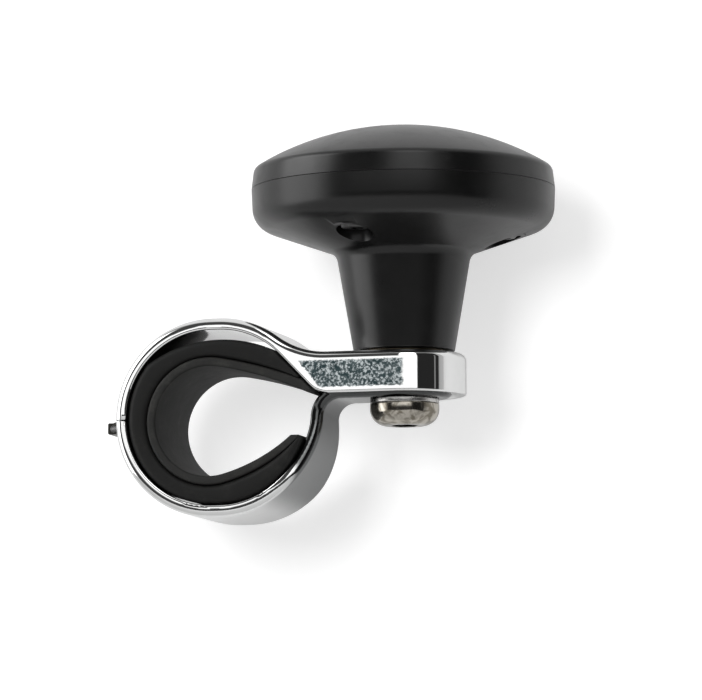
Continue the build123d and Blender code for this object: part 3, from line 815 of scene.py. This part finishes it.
def moulded_liner(node, name, finish, radius):
    """A liner whose front and back edges are rounded, as they come from a mould."""
    points, front = face_outline(node)
    points = blunted(points)
    inward, depth = edge_depths(points, radius)
    count = len(points)
    turns = [pi / 2 * k / EDGE_STEPS for k in range(EDGE_STEPS + 1)]
    bm = bmesh.new()
    rings, flats = [], []
    for way, order in ((-1, reversed(turns)), (1, turns)):
        for turn in order:
            flat = [points[k] + inward[k] * depth[k] * (1 - cos(turn)) for k in range(count)]
            places = [way * (-front - depth[k] * (1 - sin(turn))) for k in range(count)]
            rings.append([bm.verts.new((p.x, y, p.y)) for p, y in zip(flat, places)])
            flats.append(flat)
    for near, far in zip(rings, rings[1:]):
        for k in range(count):
            j = (k + 1) % count
            bm.faces.new((near[k], near[j], far[j], far[k]))
    edges = [(k, (k + 1) % count) for k in range(count)]
    for ring, flat in ((rings[0], flats[0]), (rings[-1], flats[-1])):
        _, _, faces, sources, _, _ = delaunay_2d_cdt(flat, edges, [list(range(count))], 1, 1e-5)
        for corners in faces:
            bm.faces.new([ring[sources[k][0]] for k in corners])
    return new_piece(name, bm, finish, 50.0)


band = moulded_liner("outer_liner", "liner_band", outer_rubber, BAND_EDGE)
stand_for(band, "outer_liner", "clamp")
strip = moulded_liner("inner_liner", "liner_strip", inner_rubber, STRIP_EDGE)
stand_for(strip, "inner_liner", "clamp")

pin = soften(new_piece("headed_pin", merged_copy("hinge_pin"), pin_finish), 0.2)
stand_for(pin, "hinge_pin", "clamp")


# Needle rollers of the lower bearing
NEEDLE_COUNT = 12
NEEDLE_PITCH = 6.62
NEEDLE_Z = STEM_Z + 6.0
NEEDLE_RADIUS, NEEDLE_HALF, NEEDLE_ROUND = 0.6, 3.3, 0.15


def roller():
    """One roller with bevelled ends, about the origin."""
    end, side = NEEDLE_RADIUS - NEEDLE_ROUND, NEEDLE_HALF - NEEDLE_ROUND
    low = [(0, -NEEDLE_HALF), (end, -NEEDLE_HALF), (NEEDLE_RADIUS, -side)]
    high = [(NEEDLE_RADIUS, side), (end, NEEDLE_HALF), (0, NEEDLE_HALF)]
    return lathe("one_roller", low + high, bearing_finish, 20, (0.0, 0.0), 50.0)


needle_turns = [2 * pi * k / NEEDLE_COUNT for k in range(NEEDLE_COUNT)]
needle_places = [(*centre, NEEDLE_Z) for centre in round_places(NEEDLE_PITCH, needle_turns)]
needles = spread("rounded_needles", roller(), needle_places, bearing_finish)
stand_for(needles, "needle_rollers", "cage")

# The other inner pieces keep their solids, with a finish of their own
for node, finish in {
    "spindle": spindle_finish,
    "thrust_washer": dark_bronze_finish,
    "grease_seal": seal_rubber,
    "needle_cup": bearing_finish,
    "needle_cage": bearing_finish,
    "upper_bush": bronze_finish,
    "spindle_washer": zinc_finish,
    "lock_washer": zinc_finish,
    "spindle_nut": zinc_finish,
}.items():
    for slot in cad_nodes[node].material_slots:
        slot.material = finish

# Camera
AIM = Vector((26.6, 0.0, 14.7)) * MM
CAMERA_DISTANCE = 1.2
CAMERA_AZIMUTH = radians(14.5)
CAMERA_ELEVATION = radians(-6.0)
CAMERA_ROLL = radians(0.3)
LENS = 304.4


def direction(azimuth, elevation):
    """Unit vector towards an azimuth, counted from -Y towards +X, and an elevation."""
    return Vector(
        (sin(azimuth) * cos(elevation), -cos(azimuth) * cos(elevation), sin(elevation))
    )


def looking_in(way, distance):
    """Place of a camera or lamp at a distance from the aim, which it looks at."""
    turn = way.to_track_quat("Z", "Y").to_matrix().to_4x4()
    return Matrix.Translation(AIM + way * distance) @ turn


camera_data = bpy.data.cameras.new("camera")
camera_data.lens = LENS
camera_data.sensor_width = 36.0
camera_data.clip_end = 20.0
camera = link("camera", camera_data)
towards = direction(CAMERA_AZIMUTH, CAMERA_ELEVATION)
camera.matrix_world = looking_in(towards, CAMERA_DISTANCE) @ Matrix.Rotation(-CAMERA_ROLL, 4, "Z")
bpy.context.scene.camera = camera

# Stage: a floor well below the clamp and a backdrop just behind it. Only their fronts show.
FLOOR_SIZE, FLOOR_Z = 1.6, -0.3
BACKDROP_SIZE, BACKDROP_Y = 3.0, 0.032
SHINE_SHARE = 0.35


def ray_kinds(tree):
    """What a ray comes from: the camera, or anything that shines or lets light through."""
    rays = tree.node("ShaderNodeLightPath")
    shiny = rays.output("Is Glossy Ray") + rays.output("Is Transmission Ray")
    return rays.output("Is Camera Ray"), shiny


def stage_finish(name, glow, paint):
    """Pale paint that keeps the shadows, lifted towards white for what looks at it."""
    material = bpy.data.materials.new(name)
    material.use_nodes = True
    material.node_tree.nodes.clear()
    tree = Tree(material.node_tree)
    seen, shiny = ray_kinds(tree)
    matte = tree.node("ShaderNodeBsdfDiffuse", None, {"Color": shade(paint, paint, paint)})
    strength = (seen + shiny * SHINE_SHARE) * glow
    light = tree.node("ShaderNodeEmission", None, {"Strength": strength})
    front = tree.node("ShaderNodeAddShader", None, {0: matte, 1: light})
    behind = tree.node("ShaderNodeNewGeometry", output="Backfacing")
    clear = tree.node("ShaderNodeBsdfTransparent")
    total = tree.node("ShaderNodeMixShader", None, {0: behind, 1: front, 2: clear})
    tree.node("ShaderNodeOutputMaterial", None, {"Surface": total})
    return material


def stage_plane(name, size, matrix, finish):
    """A square of the stage, in metres."""
    bm = bmesh.new()
    bmesh.ops.create_grid(bm, x_segments=1, y_segments=1, size=size / 2)
    mesh = bpy.data.meshes.new(name)
    bm.to_mesh(mesh)
    bm.free()
    mesh.transform(matrix)
    mesh.materials.append(finish)
    plane = link(name, mesh)
    return plane


stage_plane(
    "floor",
    FLOOR_SIZE,
    Matrix.Translation((0, 0, FLOOR_Z)),
    stage_finish("floor_paint", glow=0.45, paint=0.55),
)
backdrop = stage_plane(
    "backdrop",
    BACKDROP_SIZE,
    Matrix.Translation((0, BACKDROP_Y, 0)) @ Matrix.Rotation(radians(90), 4, "X"),
    stage_finish("backdrop_paint", glow=0.55, paint=0.62),
)
backdrop.visible_diffuse = False
backdrop.visible_shadow = False

# What the chrome mirrors: a dim room that brightens on both sides behind the object, with cards
# and dark gaps in it, later ones over earlier ones. Each has its azimuth and its elevation in
# degrees, as two ends and a softness, and then its brightness.
EVEN_LIGHT = 0.55
DIM_ROOM = 0.06
RIGHT_SIDE, RIGHT_GLOW = (62.0, 92.0), 0.42
LEFT_SIDE, LEFT_GLOW = (-92.0, -104.0), 0.5
ROOM_CARDS = [
    ((-28.0, 38.0, 1.0), (3.5, 9.5, 1.0), 1.25),
    ((4.0, 38.0, 2.0), (9.5, 34.0, 4.0), 1.5),
    ((4.0, 38.0, 2.0), (34.0, 62.0, 4.0), 2.8),
    ((38.0, 81.0, 0.8), (-25.0, 45.0, 4.0), 0.02),
    ((71.5, 74.0, 0.6), (-8.0, 20.0, 4.0), 0.25),
    ((96.0, 170.0, 6.0), (-25.0, 45.0, 4.0), 0.45),
    ((-98.0, -50.0, 5.0), (-22.0, 14.0, 5.0), 2.3),
    ((-98.0, -48.0, 6.0), (14.0, 45.0, 5.0), 4.0),
    ((-200.0, 200.0, 1.0), (54.0, 100.0, 8.0), 0.8),
    ((-200.0, 200.0, 1.0), (-100.0, -40.0, 8.0), 0.4),
]


def studio_world():
    """Even light, white to the camera, and the room of cards for what shines."""
    world = bpy.data.worlds.new("studio")
    bpy.context.scene.world = world
    world.use_nodes = True
    world.node_tree.nodes.clear()
    tree = Tree(world.node_tree)
    seen, shiny = ray_kinds(tree)
    place = tree.node("ShaderNodeTexCoord", output="Generated")
    parts = tree.node("ShaderNodeSeparateXYZ", None, {"Vector": place})
    x, y, z = (parts.output(axis) for axis in "XYZ")
    azimuth = tree.node("ShaderNodeMath", {"operation": "ARCTAN2"}, {0: x, 1: -1.0 * y})
    elevation = tree.node("ShaderNodeMath", {"operation": "ARCSINE"}, {0: z})
    azimuth, elevation = azimuth * degrees(1), elevation * degrees(1)
    room = RIGHT_GLOW * azimuth.between(*RIGHT_SIDE) + LEFT_GLOW * azimuth.between(*LEFT_SIDE)
    room = room + DIM_ROOM
    for across, up, level in ROOM_CARDS:
        card = azimuth.within(*across) * elevation.within(*up)
        room = room + card * (level - room)
    plain, mirrored, white = (
        tree.node("ShaderNodeBackground", None, {"Color": shade(1, 1, 1), "Strength": strength})
        for strength in (EVEN_LIGHT, room, 1.0)
    )
    lit = tree.node("ShaderNodeMixShader", None, {0: shiny, 1: plain, 2: mirrored})
    total = tree.node("ShaderNodeMixShader", None, {0: seen, 1: lit, 2: white})
    tree.node("ShaderNodeOutputWorld", None, {"Surface": total})


studio_world()


def softbox(name, azimuth, elevation, distance, size, power):
    """A square lamp that looks at the object and isn't mirrored in it."""
    data = bpy.data.lights.new(name, "AREA")
    data.size = size
    data.energy = power
    lamp = link(name, data)
    lamp.matrix_world = looking_in(direction(radians(azimuth), radians(elevation)), distance)
    lamp.visible_glossy = False


softbox("key_light", azimuth=-8, elevation=10, distance=1.2, size=0.4, power=8.0)
softbox("back_fill", azimuth=150, elevation=30, distance=1.4, size=0.8, power=5.0)

bpy.context.scene.view_settings.view_transform = "Standard"
